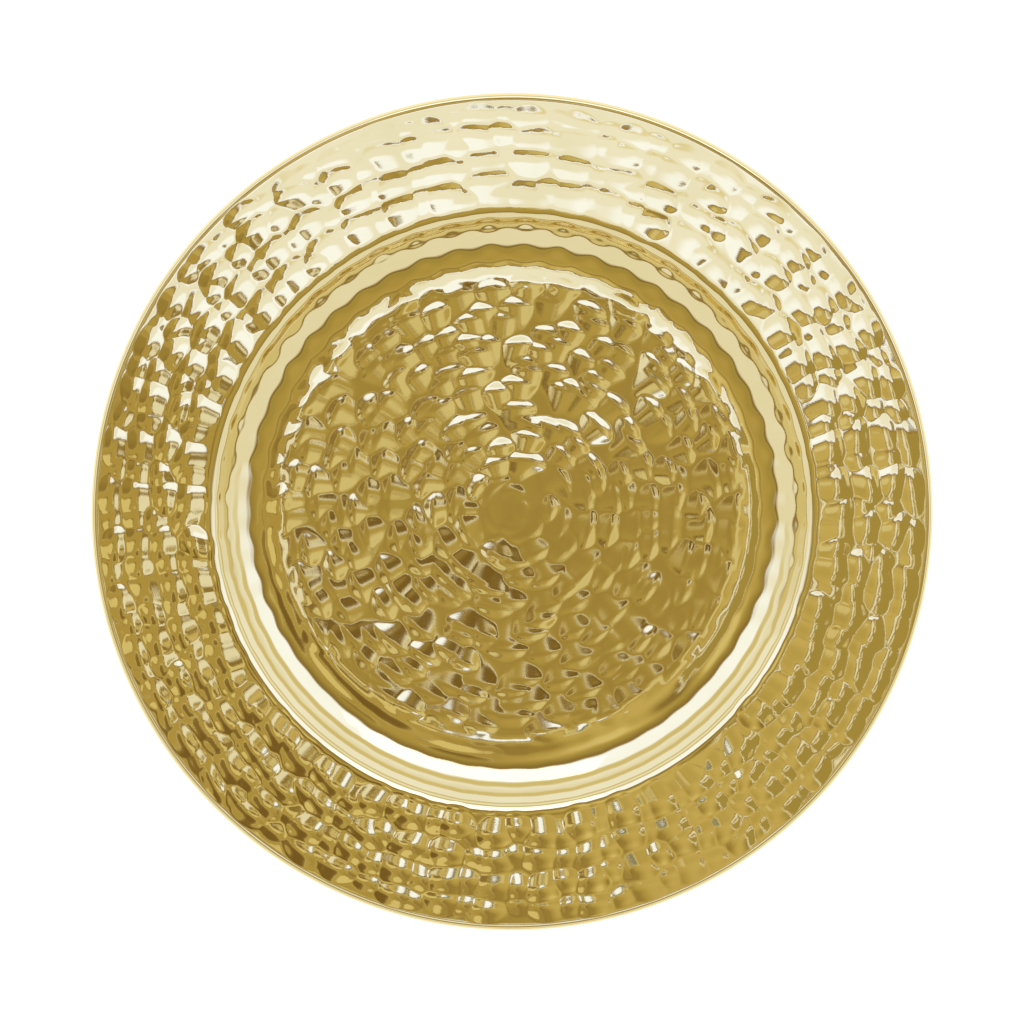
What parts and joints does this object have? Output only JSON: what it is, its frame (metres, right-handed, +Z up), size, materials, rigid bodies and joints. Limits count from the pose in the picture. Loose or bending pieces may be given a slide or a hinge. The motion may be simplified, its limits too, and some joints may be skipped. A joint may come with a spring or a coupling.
{
  "type": "charger plate",
  "caption": "Round hammered gold-coloured metal charger plate with a flat well, a swept wall, a wide rising rim and an edge rolled round a wire, standing on rubber pads.",
  "frame": {"origin": "on the plate's axis, on the surface that the pads rest on", "axes": "+Z up along the plate's axis; +X and +Y lie in the table plane, with +Y towards the top of the picture"},
  "size_m": [0.33, 0.33, 0.0248],
  "materials": {
    "gold_sheet": "hammered and polished, gold-coloured",
    "wire_steel": "drawn wire",
    "pad_rubber": "matt moulded rubber",
    "pad_adhesive": "pressure-sensitive adhesive film"
  },
  "bodies": {
    "root": {"plate_sheet": "gold_sheet", "rim_wire": "wire_steel", "foot_pad_1": "pad_rubber", "foot_pad_2": "pad_rubber", "foot_pad_3": "pad_rubber", "foot_pad_4": "pad_rubber", "pad_adhesive_1": "pad_adhesive", "pad_adhesive_2": "pad_adhesive", "pad_adhesive_3": "pad_adhesive", "pad_adhesive_4": "pad_adhesive"}
  },
  "joints": []
}
